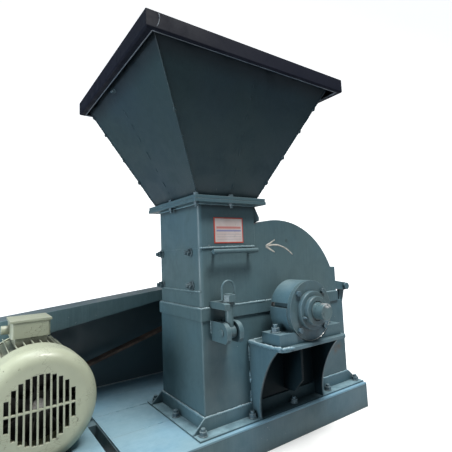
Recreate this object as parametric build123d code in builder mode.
from build123d import *
import math
import os

# Hammer mill with feed hopper, welded base frame, motor, V-belt drive and belt guard.
# +X runs along the frame from the motor to the mill's hinge side, +Y from the bearing side to the
# belt side, +Z up. Origin: centre of the four anchor holes, on the floor.

# ---- driving dimensions, mm ----
FRAME_L, FRAME_W, FRAME_H = 1500.0, 800.0, 100.0   # welded channel frame
CH_FLANGE, CH_T = 50.0, 6.0                        # 100 x 50 channel
DECK_T = 6.0                                       # deck plate
ANCHOR_X, ANCHOR_Y, ANCHOR_R = 1300.0, 750.0, 9.0  # anchor hole spacing and radius

HX, HY, HZ = -82.0, -335.0, FRAME_H + DECK_T       # casing's near left corner on the deck
CAS_L, CAS_W = 783.0, 336.0                        # lower casing length and width
WALL = 6.0
SPLIT_Z = 377.0                                    # split between lower and upper casing
SX, SZ = 384.0, 390.0                              # rotor shaft axis, from the casing corner
ARC_R = 359.0                                      # outer radius of the upper casing
UP_R_X, UP_R_Z = 743.0, 534.0                      # upper casing's straight end wall
NECK_L, SILL_Z, NECK_Z = 261.0, 638.0, 805.0       # inlet neck
BAND_H, BAND_T = 43.0, 6.0                         # flat bar along the split
LEG, LEG_T = 50.0, 6.0                             # casing foot angle iron

TIP_R = 310.0                                      # hammer tip circle
PIN_C = 180.0                                      # hammer pin circle
SHAFT_R, SEAT_R, END_R = 42.0, 35.0, 30.0
HOUSING_R = 111.0
BEAR_Y0, BEAR_Y1 = -150.0, -60.0                   # front bearing housing, from the casing front
FOOT_X = 140.0                                     # bearing foot bolts either side of the shaft
PART_Z = SZ + 16                                   # bearing housing's parting face

RIM = (-287.0, 589.0, -225.0, 544.0)               # hopper rim outer edges
RIM_Z, RIM_H, RIM_T = 1325.0, 56.0, 4.0
RET_X, RET_Y = 24.0, 11.0                          # width of the rim's turned-in lower edge
HOP_Z0, HOP_T = 830.0, 4.0

MX, MZ = -500.0, 179.0                             # motor axis
M_Y0, M_Y1 = 99.0, 565.0                           # motor body, cowl face to drive end face
MOTOR_R = 170.0
BELT_Y, BELTS, PITCH = 630.0, 3, 19.0              # belt centre plane, number of belts, spacing
MILL_P, MOTOR_P = 70.0, 112.0                      # pulley pitch radii
G_X0, G_X1, G_Y0, G_Y1 = -636.0, 500.0, 575.0, 722.0  # belt guard

HINGE_X, HINGE_Z = 812.0, 438.0                    # casing hinge axis
LATCH_X, LATCH_Y, LATCH_Z = 74.5, -66.0, 341.0     # swing bolt's pivot

os.makedirs("parts", exist_ok=True)

HOUSE = Plane(origin=(HX, HY, HZ))


def xz(y):
    """Plane facing the front at depth y behind the casing front: local x = +X, local y = +Z, normal -Y."""
    return Plane(origin=(HX, HY + y, HZ), x_dir=(1, 0, 0), z_dir=(0, -1, 0))


def yz(x):
    """Plane facing +X at x: local x = +Y, local y = +Z."""
    return Plane(origin=(HX + x, HY, HZ), x_dir=(0, 1, 0), z_dir=(1, 0, 0))


def xy(z):
    return Plane(origin=(HX, HY, HZ + z))


def block(x0, x1, y0, y1, z0, z1, mode=Mode.ADD):
    """A rectangular bar between two corners, in the running part."""
    with Locations(((x0 + x1) / 2, (y0 + y1) / 2, (z0 + z1) / 2)):
        Box(abs(x1 - x0), abs(y1 - y0), abs(z1 - z0), mode=mode)


def along_y(x, z, y0, y1, r, mode=Mode.ADD):
    """A round bar or hole along Y."""
    with Locations(Location((x, (y0 + y1) / 2, z), (90, 0, 0))):
        Cylinder(r, abs(y1 - y0), mode=mode)


def along_x(y, z, x0, x1, r, mode=Mode.ADD):
    with Locations(Location(((x0 + x1) / 2, y, z), (0, 90, 0))):
        Cylinder(r, abs(x1 - x0), mode=mode)


def along_z(x, y, z0, z1, r, mode=Mode.ADD):
    with Locations((x, y, (z0 + z1) / 2)):
        Cylinder(r, abs(z1 - z0), mode=mode)


def hex_sketch(af):
    RegularPolygon(af / 2, 6, major_radius=False)


def save(part, name):
    part.label = name
    export_step(part, f"parts/{name}.step")


# bolts through the casing's foot angles, from the casing corner
FOOT_BOLTS = [(bx, by) for bx in (-23, 191, 407, 614, 807) for by in (-24, CAS_W + 24)] + [(-25, 172), (CAS_L + 25, 172)]

# =====================================================================  base frame
with BuildPart() as base_frame:
    hl, hw = FRAME_L / 2, FRAME_W / 2
    runs = [
        (-hl, hl, -hw, -hw + CH_FLANGE), (-hl, hl, hw - CH_FLANGE, hw), (-hl, hl, -5, 45),
        (-hl, -hl + CH_FLANGE, -hw, hw), (hl - CH_FLANGE, hl, -hw, hw),
        (-140, -90, -hw, hw), (-360, -310, -hw, hw), (-hl, -310, 180, 230),
    ]
    for x0, x1, y0, y1 in runs:
        block(x0, x1, y0, y1, 0, FRAME_H)
    lo, hi = CH_T, FRAME_H - CH_T
    # open side of each channel
    for x0, x1, y0, y1 in [
        (-hl + CH_T, hl - CH_T, -hw + CH_T, -hw + CH_FLANGE + 0.0),
        (-hl + CH_T, hl - CH_T, hw - CH_FLANGE, hw - CH_T),
        (-hl + CH_T, -hl + CH_FLANGE, -hw + CH_T, hw - CH_T),
        (hl - CH_FLANGE, hl - CH_T, -hw + CH_T, hw - CH_T),
        (-hl + CH_T, hl - CH_T, 1, 45),
        (-134, -90, -hw + CH_FLANGE, hw - CH_FLANGE),
        (-354, -310, -hw + CH_FLANGE, hw - CH_FLANGE),
        (-hl + CH_T, -360, 186, 230),
    ]:
        block(x0, x1, y0, y1, lo, hi, Mode.SUBTRACT)
    with Locations((0, 0, 0)):
        with GridLocations(ANCHOR_X, ANCHOR_Y, 2, 2):
            Cylinder(ANCHOR_R, 3 * CH_T, mode=Mode.SUBTRACT)
    for bx, by in FOOT_BOLTS:
        along_z(HX + bx, HY + by, FRAME_H - 12, FRAME_H + 1, 8.5, Mode.SUBTRACT)
save(base_frame.part, "base_frame")

# =====================================================================  deck plates, 3 strips and a back strip
with BuildPart() as deck_plates:
    z0, z1 = FRAME_H, FRAME_H + DECK_T
    block(-357, 750, -400, -161.6, z0, z1)
    block(-357, 750, -160.4, 46.4, z0, z1)
    block(-357, 750, 47.6, 400, z0, z1)
    block(-720, -358.2, 350, 400, z0, z1)
    block(-70, 690, -322, -12, z0, z1, Mode.SUBTRACT)
    for bx, by in FOOT_BOLTS:
        along_z(HX + bx, HY + by, z0 - 1, z1 + 1, 8.5, Mode.SUBTRACT)
save(deck_plates.part, "deck_plates")

# =====================================================================  motor slide rails
FOOT_A, FOOT_Y = 127.0, (271.0, 481.0)
with BuildPart(HOUSE) as motor_rails:
    for xc, x0, x1 in ((MX + FOOT_A, -408, -324), (MX - FOOT_A, -662, -578)):
        block(x0, x1, -60, 562, -6, 19)
        for fy in FOOT_Y:
            block(xc - 6.5, xc + 6.5, fy - 40, fy + 40, -6, 19, Mode.SUBTRACT)
            block(xc - 12, xc + 12, fy - 40, fy + 40, -6, 6, Mode.SUBTRACT)
save(motor_rails.part, "motor_rails")

# =====================================================================  lower casing
with BuildPart(HOUSE) as lower_casing:
    block(0, CAS_L, 0, CAS_W, 0, SPLIT_Z)
    block(WALL, CAS_L - WALL, WALL, CAS_W - WALL, 0, SPLIT_Z - WALL, Mode.SUBTRACT)
    block(WALL, UP_R_X - WALL, WALL, CAS_W - WALL, SPLIT_Z - WALL, SPLIT_Z, Mode.SUBTRACT)
    along_y(SX, SZ, -1, CAS_W + 1, 58, Mode.SUBTRACT)
    fillet(lower_casing.edges().filter_by(Axis.Z).group_by(Axis.X)[0], 5)
save(lower_casing.part, "lower_casing")

# foot angles: front and back run past the corners with their upright legs cut at 45 degrees
def long_angle(face_y, out):
    """One foot angle along X. face_y is the casing wall it stands against, out its outward direction."""
    y_up = (face_y, face_y + out * LEG_T)
    y_flat = (face_y, face_y + out * LEG)
    block(-LEG, CAS_L + LEG, min(y_flat), max(y_flat), 0, LEG_T)


with BuildPart(HOUSE) as foot_angles:
    for face_y, out in ((0, -1), (CAS_W, 1)):
        long_angle(face_y, out)
        with BuildSketch(xz(face_y)) as upright:
            with BuildLine():
                Polyline((-LEG, 0), (CAS_L + LEG, 0), (CAS_L + LEG, LEG_T + 2), (CAS_L + 4, LEG), (-4, LEG), (-LEG, LEG_T + 2), close=True)
            make_face()
        extrude(upright.sketch, amount=LEG_T if out < 0 else -LEG_T)
    for face_x, out in ((0, -1), (CAS_L, 1)):
        xs = sorted((face_x, face_x + out * LEG))
        block(xs[0], xs[1], 0, CAS_W, 0, LEG_T)
        xs = sorted((face_x, face_x + out * LEG_T))
        block(xs[0], xs[1], 0, CAS_W, 0, LEG)
    for bx, by in FOOT_BOLTS:
        along_z(bx, by, -1, LEG_T + 1, 8.5, Mode.SUBTRACT)
save(foot_angles.part, "foot_angles")

with BuildPart() as base_bolts:
    spots = FOOT_BOLTS
    with BuildSketch(xy(LEG_T)) as s:
        with Locations(*spots):
            Circle(15)
    extrude(s.sketch, amount=3)
    with BuildSketch(xy(LEG_T + 3)) as s:
        with Locations(*spots):
            hex_sketch(24)
    extrude(s.sketch, amount=13)
    with BuildSketch(xy(-22)) as s:
        with Locations(*spots):
            Circle(8)
    extrude(s.sketch, amount=LEG_T + 22 + 16 + 9)
save(base_bolts.part, "base_bolts")

# =====================================================================  bearing brackets
def bracket(front):
    """Shelf, two curved gussets and a middle rib on one casing wall."""
    def m(y):
        return y if front else CAS_W - y

    def sgn(t):
        return t if front else -t

    depth = -190 if front else -175
    with BuildSketch(xy(265)) as shelf:
        with BuildLine():
            Polyline((204, m(0)), (564, m(0)), (564, m(depth)), (204, m(depth)), close=True)
        make_face()
        corners = shelf.vertices().sort_by(Axis.Y)
        fillet(corners[:2] if front else corners[-2:], 28)
    extrude(shelf.sketch, amount=12)
    for x in (208, 550):
        with BuildSketch(yz(x)) as gusset:
            with BuildLine() as outline:
                Polyline((m(0), 265), (m(-160), 265))
                Spline((m(-160), 265), (m(-108), 209), (m(-80), 160), (m(-58), 106), (m(-50), LEG_T))
                Polyline((m(-50), LEG_T), (m(-LEG_T), LEG_T), (m(-LEG_T), LEG), (m(0), LEG), (m(0), 265))
            make_face()
        extrude(gusset.sketch, amount=10)
    with BuildSketch(yz(379)) as rib:
        with BuildLine():
            Polyline((m(0), 265), (m(-103), 265), (m(-103), 118), (m(-56), 65), (m(0), 65), close=True)
        make_face()
    extrude(rib.sketch, amount=10)


for tag, front in (("front", True), ("rear", False)):
    with BuildPart(HOUSE) as bearing_bracket:
        bracket(front)
        for x in (SX - FOOT_X, SX + FOOT_X):
            y = -115 if front else CAS_W + 115
            along_z(x, y, 260, 280, 9, Mode.SUBTRACT)
    save(bearing_bracket.part, f"bearing_bracket_{tag}")

# =====================================================================  bearings
def span(front, a, b):
    """A y interval given for the front bearing, mirrored for the rear one."""
    return (a, b) if front else (CAS_W - b, CAS_W - a)


with BuildPart(HOUSE) as bearing_bases:
    for front in (True, False):
        y0, y1 = span(front, BEAR_Y0, BEAR_Y1)
        f0, f1 = span(front, -164, -67)
        block(SX - 165, SX + 165, f0, f1, 277, 320)
        along_y(SX, SZ, y0, y1, HOUSING_R + 2)
        block(SX - 130, SX + 130, y0 - 1, y1 + 1, PART_Z, SZ + 130, Mode.SUBTRACT)
        d0, d1 = (f0 - 1, y0) if front else (y1, f1 + 1)
        along_y(SX, SZ, d0, d1, HOUSING_R + 0.5, Mode.SUBTRACT)
        along_y(SX, SZ, y0 - 30, y1 + 30, 75, Mode.SUBTRACT)
        for x in (SX - FOOT_X, SX + FOOT_X):
            along_z(x, (-115 if front else CAS_W + 115), 270, 330, 9, Mode.SUBTRACT)
save(bearing_bases.part, "bearing_bases")

with BuildPart(HOUSE) as bearing_caps:
    for front in (True, False):
        y0, y1 = span(front, BEAR_Y0, BEAR_Y1)
        along_y(SX, SZ, y0, y1, HOUSING_R)
        block(SX - 130, SX + 130, y0 - 1, y1 + 1, SZ - 130, PART_Z, Mode.SUBTRACT)
        along_y(SX, SZ, y0 - 1, y1 + 1, 75, Mode.SUBTRACT)
        # parting notch along both sides
        block(SX - 125, SX - 88, y0, y1, PART_Z, PART_Z + 17, Mode.SUBTRACT)
        block(SX + 88, SX + 125, y0, y1, PART_Z, PART_Z + 17, Mode.SUBTRACT)
save(bearing_caps.part, "bearing_caps")

with BuildPart(HOUSE) as bearing_covers:
    for front in (True, False):
        for a, b, r in ((-167, -150, HOUSING_R), (-150, -145, 75)):
            along_y(SX, SZ, *span(front, a, b), r)
        along_y(SX, SZ, *span(front, -180, -167), 72)
        along_y(SX, SZ, *span(front, -197, -180), 54)
        # chamfered hub edges
        for a, b, r in ((-183, -180, 72), (-200, -197, 54)):
            with BuildSketch(xz(b if front else CAS_W - b)) as s:
                with Locations((SX, SZ)):
                    Circle(r)
            extrude(s.sketch, amount=3 if front else -3, taper=35)
        along_y(SX, SZ, *span(front, -201, -144), 36, Mode.SUBTRACT)
        along_y(SX, SZ, *span(front, -151, -144), 63, Mode.SUBTRACT)
        for a in (45, 135, 225, 315):
            along_y(SX + 94 * math.cos(math.radians(a)), SZ + 94 * math.sin(math.radians(a)), *span(front, -168, -149), 6.5, Mode.SUBTRACT)
save(bearing_covers.part, "bearing_covers")

with BuildPart(HOUSE) as bearing_cover_bolts:
    for front in (True, False):
        for a in (45, 135, 225, 315):
            x, z = SX + 94 * math.cos(math.radians(a)), SZ + 94 * math.sin(math.radians(a))
            head = xz(-167) if front else xz(CAS_W + 167)
            with BuildSketch(head) as s:
                with Locations((x, z)):
                    hex_sketch(19)
            extrude(s.sketch, amount=9 if front else -9)
            along_y(x, z, *span(front, -168, -150), 6)
save(bearing_cover_bolts.part, "bearing_cover_bolts")

with BuildPart(HOUSE) as bearing_foot_bolts:
    for front in (True, False):
        y = -115 if front else CAS_W + 115
        for x in (SX - FOOT_X, SX + FOOT_X):
            along_z(x, y, 320, 323, 19)
            with BuildSketch(xy(323)) as s:
                with Locations((x, y)):
                    hex_sketch(27)
            extrude(s.sketch, amount=15)
            along_z(x, y, 250, 349, 8.8)
            with BuildSketch(xy(250)) as s:
                with Locations((x, y)):
                    hex_sketch(27)
            extrude(s.sketch, amount=15)
save(bearing_foot_bolts.part, "bearing_foot_bolts")

with BuildPart(HOUSE) as grease_nipples:
    for front in (True, False):
        x, z = SX - 58, SZ - 20
        along_y(x, z, *span(front, -190, -183), 5)
        along_y(x, z, *span(front, -197, -190), 3)
save(grease_nipples.part, "grease_nipples")

with BuildPart(HOUSE) as bearing_outer_rings:
    for front in (True, False):
        with BuildSketch(xz(-97 if front else CAS_W + 97 + 35)) as s:
            with Locations((SX, SZ)):
                Circle(75)
                Circle(62, mode=Mode.SUBTRACT)
        extrude(s.sketch, amount=35)
save(bearing_outer_rings.part, "bearing_outer_rings")

with BuildPart(HOUSE) as bearing_inner_rings:
    for front in (True, False):
        with BuildSketch(xz(-97 if front else CAS_W + 97 + 35)) as s:
            with Locations((SX, SZ)):
                Circle(48)
                Circle(SEAT_R, mode=Mode.SUBTRACT)
        extrude(s.sketch, amount=35)
save(bearing_inner_rings.part, "bearing_inner_rings")

with BuildPart(HOUSE) as bearing_rollers:
    for front in (True, False):
        with BuildSketch(xz(-101 if front else CAS_W + 101 + 27)) as s:
            with Locations((SX, SZ)):
                with PolarLocations(55, 14):
                    Circle(6.95)
        extrude(s.sketch, amount=27)
save(bearing_rollers.part, "bearing_rollers")

# =====================================================================  screen under the rotor
def sector(y, r0, r1, a0, a1):
    """Ring sector about the shaft in the plane at depth y, angles in degrees from +X."""
    p = lambda r, a: (SX + r * math.cos(math.radians(a)), SZ + r * math.sin(math.radians(a)))
    am = (a0 + a1) / 2
    with BuildSketch(xz(y)) as ring:
        with BuildLine():
            ThreePointArc(p(r1, a0), p(r1, am), p(r1, a1))
            Line(p(r1, a1), p(r0, a1))
            ThreePointArc(p(r0, a1), p(r0, am), p(r0, a0))
            Line(p(r0, a0), p(r1, a0))
        make_face()
    return ring.sketch


with BuildPart() as screen:
    extrude(sector(9, 324, 328, 188, 352), amount=-(CAS_W - 18))
    for i in range(24):
        a = 194 + i * (152 / 23)
        c = (HX + SX + 326 * math.cos(math.radians(a)), 0, HZ + SZ + 326 * math.sin(math.radians(a)))
        for y in (58, 113, 168, 223, 278):
            with Locations(Location((c[0], HY + y, c[2]), (0, -a, 0))):
                Box(20, 34, 16, mode=Mode.SUBTRACT)
save(screen.part, "screen")

with BuildPart() as screen_rails:
    for y in (WALL, CAS_W - WALL - 16):
        extrude(sector(y, 328.5, 343, 190, 350), amount=-16)
save(screen_rails.part, "screen_rails")

# =====================================================================  upper casing
ARC_X1 = NECK_L
ARC_Z1 = SZ + math.sqrt(ARC_R**2 - (SX - NECK_L) ** 2)
STEP_X = SX + math.sqrt(ARC_R**2 - (UP_R_Z - SZ) ** 2)


def upper_outline(y, t):
    """Side view of the upper casing in the plane at depth y, inset by t."""
    r = ARC_R - t
    nx = NECK_L
    az = SZ + math.sqrt(r**2 - (SX - nx) ** 2)
    ang1 = math.atan2(az - SZ, nx - SX)
    if t == 0:
        ang0 = math.asin((UP_R_Z - SZ) / r)
        start = (SX + r * math.cos(ang0), UP_R_Z)
        low = [(UP_R_X, SPLIT_Z), (UP_R_X, UP_R_Z), start]
    else:
        ang0 = math.acos(min(1, (UP_R_X - WALL - SX) / r))
        start = (UP_R_X - WALL, SZ + r * math.sin(ang0))
        low = [(UP_R_X - WALL, SPLIT_Z), start]
    mid = (ang0 + ang1) / 2
    with BuildSketch(xz(y)) as side:
        with BuildLine():
            Polyline((t, SPLIT_Z), *low)
            ThreePointArc(start, (SX + r * math.cos(mid), SZ + r * math.sin(mid)), (nx, az))
            Polyline((nx, az), (nx, SILL_Z), (t, SILL_Z), (t, SPLIT_Z))
        make_face()
    return side.sketch


with BuildPart(HOUSE) as upper_casing:
    extrude(upper_outline(0, 0), amount=-CAS_W)
    fillet(upper_casing.edges().filter_by(Axis.Z).filter_by(lambda e: abs(e.center().X - HX) < 1), 16)
    extrude(upper_outline(WALL, WALL), amount=-(CAS_W - 2 * WALL), mode=Mode.SUBTRACT)
    block(WALL, NECK_L - WALL, WALL, CAS_W - WALL, SILL_Z - 60, SILL_Z + 1, Mode.SUBTRACT)
    along_y(SX, SZ, -1, CAS_W + 1, 58, Mode.SUBTRACT)
    for y, z in ((67, 624), (311, 623), (60, 502), (308, 495)):
        along_x(y, z, -1, 7, 8.5, Mode.SUBTRACT)
save(upper_casing.part, "upper_casing")

with BuildPart(HOUSE) as split_band:
    z0, z1 = SPLIT_Z, SPLIT_Z + BAND_H
    block(-BAND_T, 747, -BAND_T, CAS_W + BAND_T, z0, z1)
    block(0, 760, 0, CAS_W, z0 - 1, z1 + 1, Mode.SUBTRACT)
    along_y(SX, SZ, -BAND_T - 1, CAS_W + BAND_T + 1, 58, Mode.SUBTRACT)
    fillet(split_band.edges().filter_by(Axis.Z).group_by(Axis.X)[0], 4)
save(split_band.part, "split_band")

with BuildPart() as casing_liner:
    for a0, a1 in ((8, 36), (37, 70), (71, 103)):
        extrude(sector(8, 340, 352, a0, a1), amount=-(CAS_W - 16))
save(casing_liner.part, "casing_liner")

with BuildPart(HOUSE) as wear_plate:
    block(WALL, WALL + 10, 20, CAS_W - 20, 440, 632)
    for y, z in ((67, 624), (311, 623), (60, 502), (308, 495)):
        along_x(y, min(z, 618), 5, 17, 8.5, Mode.SUBTRACT)
        if z > 618:
            along_x(y, z, 5, 17, 8.5, Mode.SUBTRACT)
save(wear_plate.part, "wear_plate")

with BuildPart(HOUSE) as wear_plate_bolts:
    for y, z in ((67, 624), (311, 623), (60, 502), (308, 495)):
        along_x(y, z, -4, 0, 17)
        with BuildSketch(yz(-17)) as s:
            with Locations((y, z)):
                hex_sketch(24)
        extrude(s.sketch, amount=13)
        along_x(y, z, -28, 16, 8)
        along_x(y, z, 16, 22, 13)
save(wear_plate_bolts.part, "wear_plate_bolts")

# =====================================================================  inlet neck, flanges, hopper
with BuildPart(HOUSE) as inlet_neck:
    block(0, NECK_L, 0, CAS_W, SILL_Z, NECK_Z)
    fillet(inlet_neck.edges().filter_by(Axis.Z).group_by(Axis.X)[0], 16)
    block(WALL, NECK_L - WALL, WALL, CAS_W - WALL, SILL_Z - 1, NECK_Z + 1, Mode.SUBTRACT)
    block(NECK_L - WALL - 1, NECK_L + 1, WALL, CAS_W - WALL, SILL_Z - 1, ARC_Z1 - WALL, Mode.SUBTRACT)
    # stiffeners between the neck and the curved back
    for y in (18, CAS_W - 26):
        with BuildSketch(xz(y)) as s:
            with BuildLine():
                Polyline((NECK_L, ARC_Z1 + 3), (NECK_L + 44, ARC_Z1 + 19), (NECK_L + 44, 760), (NECK_L + 22, NECK_Z - 2), (NECK_L, NECK_Z - 2), close=True)
            make_face()
        extrude(s.sketch, amount=-8)
save(inlet_neck.part, "inlet_neck")

FLANGE_SPOTS = [(-22, -24), (133, -25), (-22, 174), (286, 174), (133, CAS_W + 26), (286, CAS_W + 25)]
with BuildPart(HOUSE) as neck_flange:
    block(-33, 298, -37, CAS_W + 37, NECK_Z, NECK_Z + 12)
    block(WALL, NECK_L - WALL, WALL, CAS_W - WALL, NECK_Z - 1, NECK_Z + 13, Mode.SUBTRACT)
    for x, y in FLANGE_SPOTS:
        along_z(x, y, NECK_Z - 1, NECK_Z + 13, 6.5, Mode.SUBTRACT)
save(neck_flange.part, "neck_flange")

with BuildPart(HOUSE) as hopper_flange:
    block(-31, 296, -35, CAS_W + 35, NECK_Z + 13, NECK_Z + 25)
    block(WALL, NECK_L - WALL, WALL, CAS_W - WALL, NECK_Z + 12, NECK_Z + 26, Mode.SUBTRACT)
    for x, y in FLANGE_SPOTS:
        along_z(x, y, NECK_Z + 12, NECK_Z + 26, 6.5, Mode.SUBTRACT)
save(hopper_flange.part, "hopper_flange")

with BuildPart(HOUSE) as flange_bolts:
    for z, h in ((NECK_Z - 10, 10), (NECK_Z + 25, 8)):
        with BuildSketch(xy(z)) as s:
            with Locations(*FLANGE_SPOTS):
                hex_sketch(17)
        extrude(s.sketch, amount=h)
    with BuildSketch(xy(NECK_Z - 18)) as s:
        with Locations(*FLANGE_SPOTS):
            Circle(6)
    extrude(s.sketch, amount=18 + 25)
save(flange_bolts.part, "flange_bolts")

TOP = (-265.0, 550.0, -205.0, 536.0)   # hopper mouth
FOOT = (-6.0, 270.0, -8.0, 344.0)      # hopper's lower end, on its flange


def rect(x0, x1, y0, y1):
    with Locations(((x0 + x1) / 2, (y0 + y1) / 2)):
        Rectangle(x1 - x0, y1 - y0)


with BuildPart() as hopper_shell:
    with BuildSketch(xy(HOP_Z0)) as a:
        rect(*FOOT)
    with BuildSketch(xy(RIM_Z - RIM_T)) as b:
        rect(*TOP)
    loft(sections=[a.sketch, b.sketch])
    with BuildSketch(xy(HOP_Z0)) as a:
        rect(FOOT[0] + HOP_T, FOOT[1] - HOP_T, FOOT[2] + HOP_T, FOOT[3] - HOP_T)
    with BuildSketch(xy(RIM_Z - RIM_T)) as b:
        rect(TOP[0] + HOP_T + 1, TOP[1] - HOP_T - 1, TOP[2] + HOP_T + 1, TOP[3] - HOP_T - 1)
    loft(sections=[a.sketch, b.sketch], mode=Mode.SUBTRACT)
save(hopper_shell.part, "hopper_shell")

with BuildPart() as hopper_rim:
    with BuildSketch(xy(RIM_Z - RIM_H)) as s:
        rect(*RIM)
        chamfer(s.sketch.vertices(), 10)
    extrude(s.sketch, amount=RIM_H)
    fillet(hopper_rim.faces().sort_by(Axis.Z)[0].edges(), 7)
    with BuildSketch(xy(RIM_Z - RIM_H + RIM_T)) as s:
        rect(RIM[0] + RIM_T, RIM[1] - RIM_T, RIM[2] + RIM_T, RIM[3] - RIM_T)
        chamfer(s.sketch.vertices(), 8)
    extrude(s.sketch, amount=RIM_H - 2 * RIM_T, mode=Mode.SUBTRACT)
    # turned-in lower edge
    with BuildSketch(xy(RIM_Z - RIM_H - 1)) as s:
        rect(RIM[0] + RET_X, RIM[1] - RET_X, RIM[2] + RET_Y, RIM[3] - RET_Y)
    extrude(s.sketch, amount=RIM_H / 2, mode=Mode.SUBTRACT)
    with BuildSketch(xy(RIM_Z - RIM_T - 1)) as s:
        rect(TOP[0] + 4, TOP[1] - 4, TOP[2] + 4, TOP[3] - 4)
    extrude(s.sketch, amount=RIM_T + 2, mode=Mode.SUBTRACT)
save(hopper_rim.part, "hopper_rim")

# =====================================================================  small fittings on the upper casing
with BuildPart(HOUSE) as neck_handle:
    along_x(-36, 624, 36, 243, 8.5)
    for x in (60, 224):
        along_y(x, 618, -36, 0, 6)
save(neck_handle.part, "neck_handle")

with BuildPart(HOUSE) as data_plate:
    block(66, 202, -1.5, 0, 655, 753)
save(data_plate.part, "data_plate")

with BuildPart() as latch_lug:
    with BuildSketch(xy(SPLIT_Z + BAND_H + 1)) as s:
        with BuildLine():
            Polyline((37, 0), (108, 0), (108, -58), (90, -58), (90, -45), (59.5, -45), (59.5, -96), (37, -96), close=True)
        make_face()
    extrude(s.sketch, amount=24)
    # top rounded about the swing bolt's pin, so the nut clears it as the bolt swings out
    with BuildSketch(yz(30)) as s:
        with Locations((LATCH_Y - 40, 460)):
            Rectangle(80, 60)
        with Locations((LATCH_Y, LATCH_Z)):
            Circle(103.6, mode=Mode.SUBTRACT)
    extrude(s.sketch, amount=90, mode=Mode.SUBTRACT)
save(latch_lug.part, "latch_lug")

with BuildPart(HOUSE) as hinge_upper_lugs:
    for y in (2, CAS_W - 16):
        with BuildSketch(xz(y)) as s:
            with BuildLine():
                Polyline((UP_R_X, 428), (HINGE_X - 6, HINGE_Z - 17), (HINGE_X, HINGE_Z), (HINGE_X + 2, HINGE_Z + 17), (UP_R_X, 468), close=True)
            make_face()
            with Locations((HINGE_X, HINGE_Z)):
                Circle(18)
        extrude(s.sketch, amount=-14)
        along_y(HINGE_X, HINGE_Z, y - 1, y + 15, 10.05, Mode.SUBTRACT)
save(hinge_upper_lugs.part, "hinge_upper_lugs")

with BuildPart(HOUSE) as hinge_lower_brackets:
    for y in (18, CAS_W - 32):
        with BuildSketch(xz(y)) as s:
            with BuildLine():
                Polyline((CAS_L, 312), (CAS_L + 8, 318), (HINGE_X + 18, HINGE_Z - 4), (HINGE_X, HINGE_Z + 8), (HINGE_X - 18, HINGE_Z), (CAS_L, 385), close=True)
            make_face()
            with Locations((HINGE_X, HINGE_Z)):
                Circle(18)
        extrude(s.sketch, amount=-14)
        along_y(HINGE_X, HINGE_Z, y - 1, y + 15, 10, Mode.SUBTRACT)
save(hinge_lower_brackets.part, "hinge_lower_brackets")

with BuildPart(HOUSE) as hinge_pins:
    along_y(HINGE_X, HINGE_Z, -2, 34, 10)
    along_y(HINGE_X, HINGE_Z, -11, -1, 16)
    along_y(HINGE_X, HINGE_Z, 34, 42, 14)
    along_y(HINGE_X, HINGE_Z, CAS_W - 34, CAS_W + 2, 10)
    along_y(HINGE_X, HINGE_Z, CAS_W + 1, CAS_W + 11, 16)
    along_y(HINGE_X, HINGE_Z, CAS_W - 42, CAS_W - 34, 14)
save(hinge_pins.part, "hinge_pins")

# =====================================================================  latch
with BuildPart(HOUSE) as latch_clevis:
    for x in (39, 92):
        with BuildSketch(yz(x)) as s:
            with BuildLine():
                Polyline((0, LATCH_Z - 35), (LATCH_Y - 22, LATCH_Z - 35), (LATCH_Y - 33, LATCH_Z - 22), (LATCH_Y - 35, LATCH_Z))
                RadiusArc((LATCH_Y - 35, LATCH_Z), (LATCH_Y, LATCH_Z + 35), 35)
                Polyline((LATCH_Y, LATCH_Z + 35), (0, LATCH_Z + 35), (0, LATCH_Z - 35))
            make_face()
        extrude(s.sketch, amount=18)
    along_x(LATCH_Y, LATCH_Z, 30, 120, 13, Mode.SUBTRACT)
save(latch_clevis.part, "latch_clevis")

with BuildPart(HOUSE) as latch_pin:
    along_x(LATCH_Y, LATCH_Z, 34, 115, 13)
    fillet(latch_pin.edges().filter_by(GeomType.CIRCLE), 3)
save(latch_pin.part, "latch_pin")

with BuildPart(HOUSE) as swing_bolt:
    along_x(LATCH_Y, LATCH_Z, 60, 89, 22)
    along_z(LATCH_X, LATCH_Y, LATCH_Z, 473, 14)
    along_x(LATCH_Y, LATCH_Z, 59, 90, 13.06, Mode.SUBTRACT)
save(swing_bolt.part, "swing_bolt")

NUT_Z = SPLIT_Z + BAND_H + 25
with BuildPart(HOUSE) as latch_nut:
    with BuildSketch(xy(NUT_Z + 0.3)) as s:
        with Locations((LATCH_X, LATCH_Y)):
            hex_sketch(44)
    extrude(s.sketch, amount=25)
    with BuildLine(xz(LATCH_Y)) as loop:
        Line((LATCH_X - 27, NUT_Z + 6), (LATCH_X - 27, NUT_Z + 46))
        RadiusArc((LATCH_X - 27, NUT_Z + 46), (LATCH_X + 27, NUT_Z + 46), 27)
        Line((LATCH_X + 27, NUT_Z + 46), (LATCH_X + 27, NUT_Z + 6))
    with BuildSketch(xy(NUT_Z + 6)) as wire:
        with Locations((LATCH_X - 27, LATCH_Y)):
            Circle(4.2)
    sweep(wire.sketch, path=loop.wire())
    along_z(LATCH_X, LATCH_Y, NUT_Z - 1, NUT_Z + 27, 14.06, Mode.SUBTRACT)
save(latch_nut.part, "latch_nut")

# =====================================================================  rotor
with BuildPart(HOUSE) as rotor_shaft:
    for y0, y1, r in ((-243, -200, END_R), (-200, -167, 33), (-167, -76, SEAT_R), (-76, CAS_W + 76, SHAFT_R),
                      (CAS_W + 76, CAS_W + 167, SEAT_R), (CAS_W + 167, CAS_W + 200, 33), (CAS_W + 200, 668, END_R)):
        along_y(SX, SZ, y0, y1, r)
    chamfer(rotor_shaft.edges().filter_by(GeomType.CIRCLE).group_by(Axis.Y)[0], 2)
    chamfer(rotor_shaft.edges().filter_by(GeomType.CIRCLE).group_by(Axis.Y)[-1], 2)
save(rotor_shaft.part, "rotor_shaft")

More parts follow.
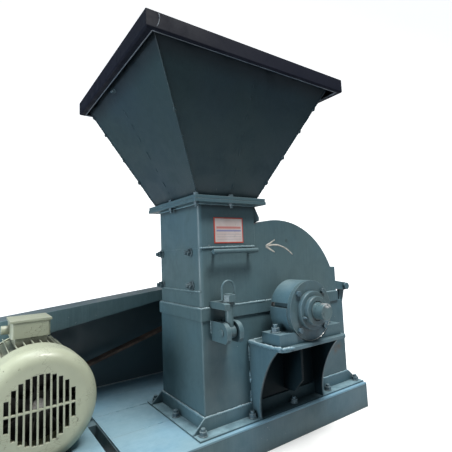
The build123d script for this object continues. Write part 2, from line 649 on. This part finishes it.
DISC_Y = (24, 78, 132, 186, 240, 294)
DISC_T = 12.0
with BuildPart() as rotor_discs:
    for y in DISC_Y:
        with BuildSketch(xz(y)) as s:
            with Locations((SX, SZ)):
                Circle(210)
                Circle(SHAFT_R, mode=Mode.SUBTRACT)
                with PolarLocations(PIN_C, 4, start_angle=22):
                    Circle(12, mode=Mode.SUBTRACT)
        extrude(s.sketch, amount=-DISC_T)
save(rotor_discs.part, "rotor_discs")

with BuildPart() as rotor_spacers:
    for a, b in zip(DISC_Y[:-1], DISC_Y[1:]):
        with BuildSketch(xz(a + DISC_T)) as s:
            with Locations((SX, SZ)):
                Circle(64)
                Circle(SHAFT_R, mode=Mode.SUBTRACT)
        extrude(s.sketch, amount=-(b - a - DISC_T))
save(rotor_spacers.part, "rotor_spacers")

with BuildPart() as hammer_pins:
    with BuildSketch(xz(16)) as s:
        with Locations((SX, SZ)):
            with PolarLocations(PIN_C, 4, start_angle=22):
                Circle(12)
    extrude(s.sketch, amount=-300)
save(hammer_pins.part, "hammer_pins")

for row in range(4):
    ang = 22 + 90 * row
    ca, sa = math.cos(math.radians(ang)), math.sin(math.radians(ang))
    px, pz = SX + PIN_C * ca, SZ + PIN_C * sa
    with BuildPart() as hammers:
        shift = 6 if row % 2 else -6
        for a, b in zip(DISC_Y[:-1], DISC_Y[1:]):
            mid_y = (a + DISC_T + b) / 2 + shift
            with BuildSketch(xz(mid_y - 5)) as s:
                with Locations(Location((px, pz, 0), (0, 0, ang))):
                    with Locations((54, 0)):
                        Rectangle(148, 50)
                    Circle(12.06, mode=Mode.SUBTRACT)
            extrude(s.sketch, amount=-10)
    save(hammers.part, f"hammer_row_{row + 1}")

# =====================================================================  pulleys and belts
def pulley(pitch_r, x, z, bore_r, web_r):
    """Three-groove V-belt pulley about an axis along Y, in the running part."""
    od = pitch_r + 3.5
    half = (BELTS - 1) * PITCH / 2 + 12.5
    prof = [(bore_r, BELT_Y - half), (od, BELT_Y - half)]
    for i in range(BELTS):
        c = BELT_Y + (i - (BELTS - 1) / 2) * PITCH
        prof += [(od, c - 8.75), (od - 14, c - 4.75), (od - 14, c + 4.75), (od, c + 8.75)]
    prof += [(od, BELT_Y + half), (bore_r, BELT_Y + half)]
    with BuildSketch(Plane(origin=(HX + x, HY, HZ + z), x_dir=(1, 0, 0), z_dir=(0, 0, 1))) as s:
        with BuildLine():
            Polyline(*prof, close=True)
        make_face()
    revolve(s.sketch, axis=Axis((HX + x, HY, HZ + z), (0, 1, 0)))


with BuildPart(HOUSE) as mill_pulley:
    pulley(MILL_P, SX, SZ, END_R, 50)
    along_y(SX, SZ, 661.5, 664, 45)
    along_y(SX, SZ, 590, 670, END_R, Mode.SUBTRACT)
save(mill_pulley.part, "mill_pulley")

with BuildPart(HOUSE) as motor_pulley:
    pulley(MOTOR_P, MX, MZ, 21, 60)
    # face recesses and lightening holes between rim and hub
    with BuildSketch(xz(598.5)) as s:
        with Locations((MX, MZ)):
            Circle(92)
            Circle(45, mode=Mode.SUBTRACT)
    extrude(s.sketch, amount=-22, mode=Mode.SUBTRACT)
    with BuildSketch(xz(661.5)) as s:
        with Locations((MX, MZ)):
            Circle(92)
            Circle(45, mode=Mode.SUBTRACT)
    extrude(s.sketch, amount=22, mode=Mode.SUBTRACT)
    with BuildSketch(xz(590)) as s:
        with Locations((MX, MZ)):
            with PolarLocations(68, 5):
                Circle(17)
    extrude(s.sketch, amount=-80, mode=Mode.SUBTRACT)
    along_y(MX, MZ, 590, 670, 21, Mode.SUBTRACT)
save(motor_pulley.part, "motor_pulley")

with BuildPart() as drive_belts:
    for i in range(BELTS):
        c = BELT_Y + (i - (BELTS - 1) / 2) * PITCH
        for r_out, r_in, w in ((4.2, -1.0, 14.4), (-1.0, -6.8, 11.0)):
            with BuildSketch(xz(c - w / 2)) as outer:
                with Locations((MX, MZ)):
                    Circle(MOTOR_P + r_out)
                with Locations((SX, SZ)):
                    Circle(MILL_P + r_out)
                make_hull()
            with BuildSketch(xz(c - w / 2)) as inner:
                with Locations((MX, MZ)):
                    Circle(MOTOR_P + r_in)
                with Locations((SX, SZ)):
                    Circle(MILL_P + r_in)
                make_hull()
            extrude(outer.sketch - inner.sketch, amount=-w)
save(drive_belts.part, "drive_belts")

# =====================================================================  belt guard
def top_z(x):
    return 448.6 + 0.0968 * (x - 106.0)


def lip_z(x):
    return 396.5 + 0.1677 * (x - 104.6)


with BuildPart() as belt_guard:
    with BuildSketch(xz(G_Y1 - 4)) as s:
        with BuildLine():
            Polyline((G_X0, 0), (G_X1, 0), (G_X1, top_z(G_X1)), (G_X0, top_z(G_X0)), close=True)
        make_face()
    extrude(s.sketch, amount=-4)
    with BuildSketch(xz(G_Y0)) as s:
        with BuildLine():
            Polyline((G_X0, top_z(G_X0) - 3), (G_X1, top_z(G_X1) - 3), (G_X1, top_z(G_X1)), (G_X0, top_z(G_X0)), close=True)
        make_face()
    extrude(s.sketch, amount=-(G_Y1 - G_Y0))
    with BuildSketch(xz(G_Y0)) as s:
        with BuildLine():
            Polyline((G_X0, lip_z(G_X0)), (G_X1, lip_z(G_X1)), (G_X1, top_z(G_X1)), (G_X0, top_z(G_X0)), close=True)
        make_face()
    extrude(s.sketch, amount=-3)
    for x in (G_X0, G_X1 - 3):
        with BuildSketch(yz(x)) as s:
            with BuildLine():
                Polyline((G_Y0, 0), (G_Y1, 0), (G_Y1, top_z(x) - 1), (G_Y0, top_z(x) - 1), close=True)
            make_face()
        extrude(s.sketch, amount=3)
save(belt_guard.part, "belt_guard")

# =====================================================================  motor
FIN_R = 162.0
with BuildPart(HOUSE) as motor_frame:
    with BuildSketch(xz(225)) as s:
        with Locations((MX, MZ)):
            Circle(146)
            Circle(138, mode=Mode.SUBTRACT)
    extrude(s.sketch, amount=-310)
    with BuildSketch(xz(230)) as s:
        with Locations((MX, MZ)):
            with PolarLocations(154, 40):
                Rectangle(17, 3.2)
    extrude(s.sketch, amount=-300)
    for x in (-1, 1):
        block(MX + x * FOOT_A - 24, MX + x * FOOT_A + 24, 246, 506, 19, 37)
        block(MX + x * 106 - 7, MX + x * 106 + 7, 252, 500, 37, 100)
        for fy in FOOT_Y:
            along_z(MX + x * FOOT_A, fy, 18, 38, 7, Mode.SUBTRACT)
    block(MX - 50, MX + 50, 330, 450, MZ + 140, MZ + 172)
    along_y(MX, MZ, 224, 536, 138, Mode.SUBTRACT)
save(motor_frame.part, "motor_frame")

with BuildPart(HOUSE) as motor_foot_bolts:
    for x in (-1, 1):
        for fy in FOOT_Y:
            bx = MX + x * FOOT_A
            with BuildSketch(xy(37)) as s:
                with Locations((bx, fy)):
                    hex_sketch(19)
            extrude(s.sketch, amount=10)
            along_z(bx, fy, -2, 52, 6)
            block(bx - 9, bx + 9, fy - 9, fy + 9, -4, 6)
save(motor_foot_bolts.part, "motor_foot_bolts")

with BuildPart(HOUSE) as motor_end_shields:
    along_y(MX, MZ, 205, 225, 146)
    along_y(MX, MZ, 225, 235, 137.9)
    along_y(MX, MZ, 535, 555, 150)
    along_y(MX, MZ, 525, 535, 137.9)
    along_y(MX, MZ, 555, M_Y1, 90)
    along_y(MX, MZ, M_Y1, M_Y1 + 18, 58)
    along_y(MX, MZ, 200, M_Y1 + 20, 27.05, Mode.SUBTRACT)
save(motor_end_shields.part, "motor_end_shields")

with BuildPart(HOUSE) as motor_stator:
    with BuildSketch(xz(290)) as s:
        with Locations((MX, MZ)):
            Circle(137.9)
            Circle(86, mode=Mode.SUBTRACT)
    extrude(s.sketch, amount=-180)
save(motor_stator.part, "motor_stator")

with BuildPart(HOUSE) as motor_fan_cowl:
    along_y(MX, MZ, M_Y0, 222, MOTOR_R)
    fillet(motor_fan_cowl.edges().filter_by(GeomType.CIRCLE).group_by(Axis.Y)[0], 42)
    along_y(MX, MZ, M_Y0 + 8, 223, MOTOR_R - 44, Mode.SUBTRACT)
    along_y(MX, MZ, M_Y0 + 44, 223, MOTOR_R - 5, Mode.SUBTRACT)
    # air openings in the end face, thin upright bars and one bar across
    for i in range(-5, 6):
        for side in (-1, 1):
            h = math.sqrt(100**2 - (i * 18) ** 2) - 3
            with BuildSketch(xz(M_Y0 - 1)) as s:
                with Locations((MX + i * 18, MZ + side * (3 + h / 2))):
                    Rectangle(12.5, h)
            extrude(s.sketch, amount=-12, mode=Mode.SUBTRACT)
save(motor_fan_cowl.part, "motor_fan_cowl")

with BuildPart(HOUSE) as motor_terminal_box:
    block(MX - 62, MX + 62, 322, 458, MZ + 172, MZ + 226)
    fillet(motor_terminal_box.edges().filter_by(Axis.Z), 10)
    block(MX - 66, MX + 66, 318, 462, MZ + 226, MZ + 234)
    along_x(390, MZ + 198, MX - 62 - 26, MX - 62, 15)
save(motor_terminal_box.part, "motor_terminal_box")

with BuildPart(HOUSE) as motor_shaft:
    along_y(MX, MZ, 140, 206, 19)
    along_y(MX, MZ, 206, 237, 27)
    along_y(MX, MZ, 237, 523, 32)
    along_y(MX, MZ, 290, 470, 84)
    along_y(MX, MZ, 523, M_Y1 + 18, 27)
    along_y(MX, MZ, M_Y1 + 18, 692, 21)
    chamfer(motor_shaft.edges().filter_by(GeomType.CIRCLE).group_by(Axis.Y)[-1], 1.5)
save(motor_shaft.part, "motor_shaft")

with BuildPart(HOUSE) as motor_fan:
    along_y(MX, MZ, 150, 196, 40)
    along_y(MX, MZ, 188, 194, 118)
    for i in range(7):
        a = i * 360 / 7
        with BuildSketch(xz(152)) as s:
            with Locations((MX, MZ)):
                with Locations(Location((75 * math.cos(math.radians(a)), 75 * math.sin(math.radians(a)), 0), (0, 0, a))):
                    Rectangle(84, 4)
        extrude(s.sketch, amount=-38)
    along_y(MX, MZ, 149, 197, 19, Mode.SUBTRACT)
save(motor_fan.part, "motor_fan")
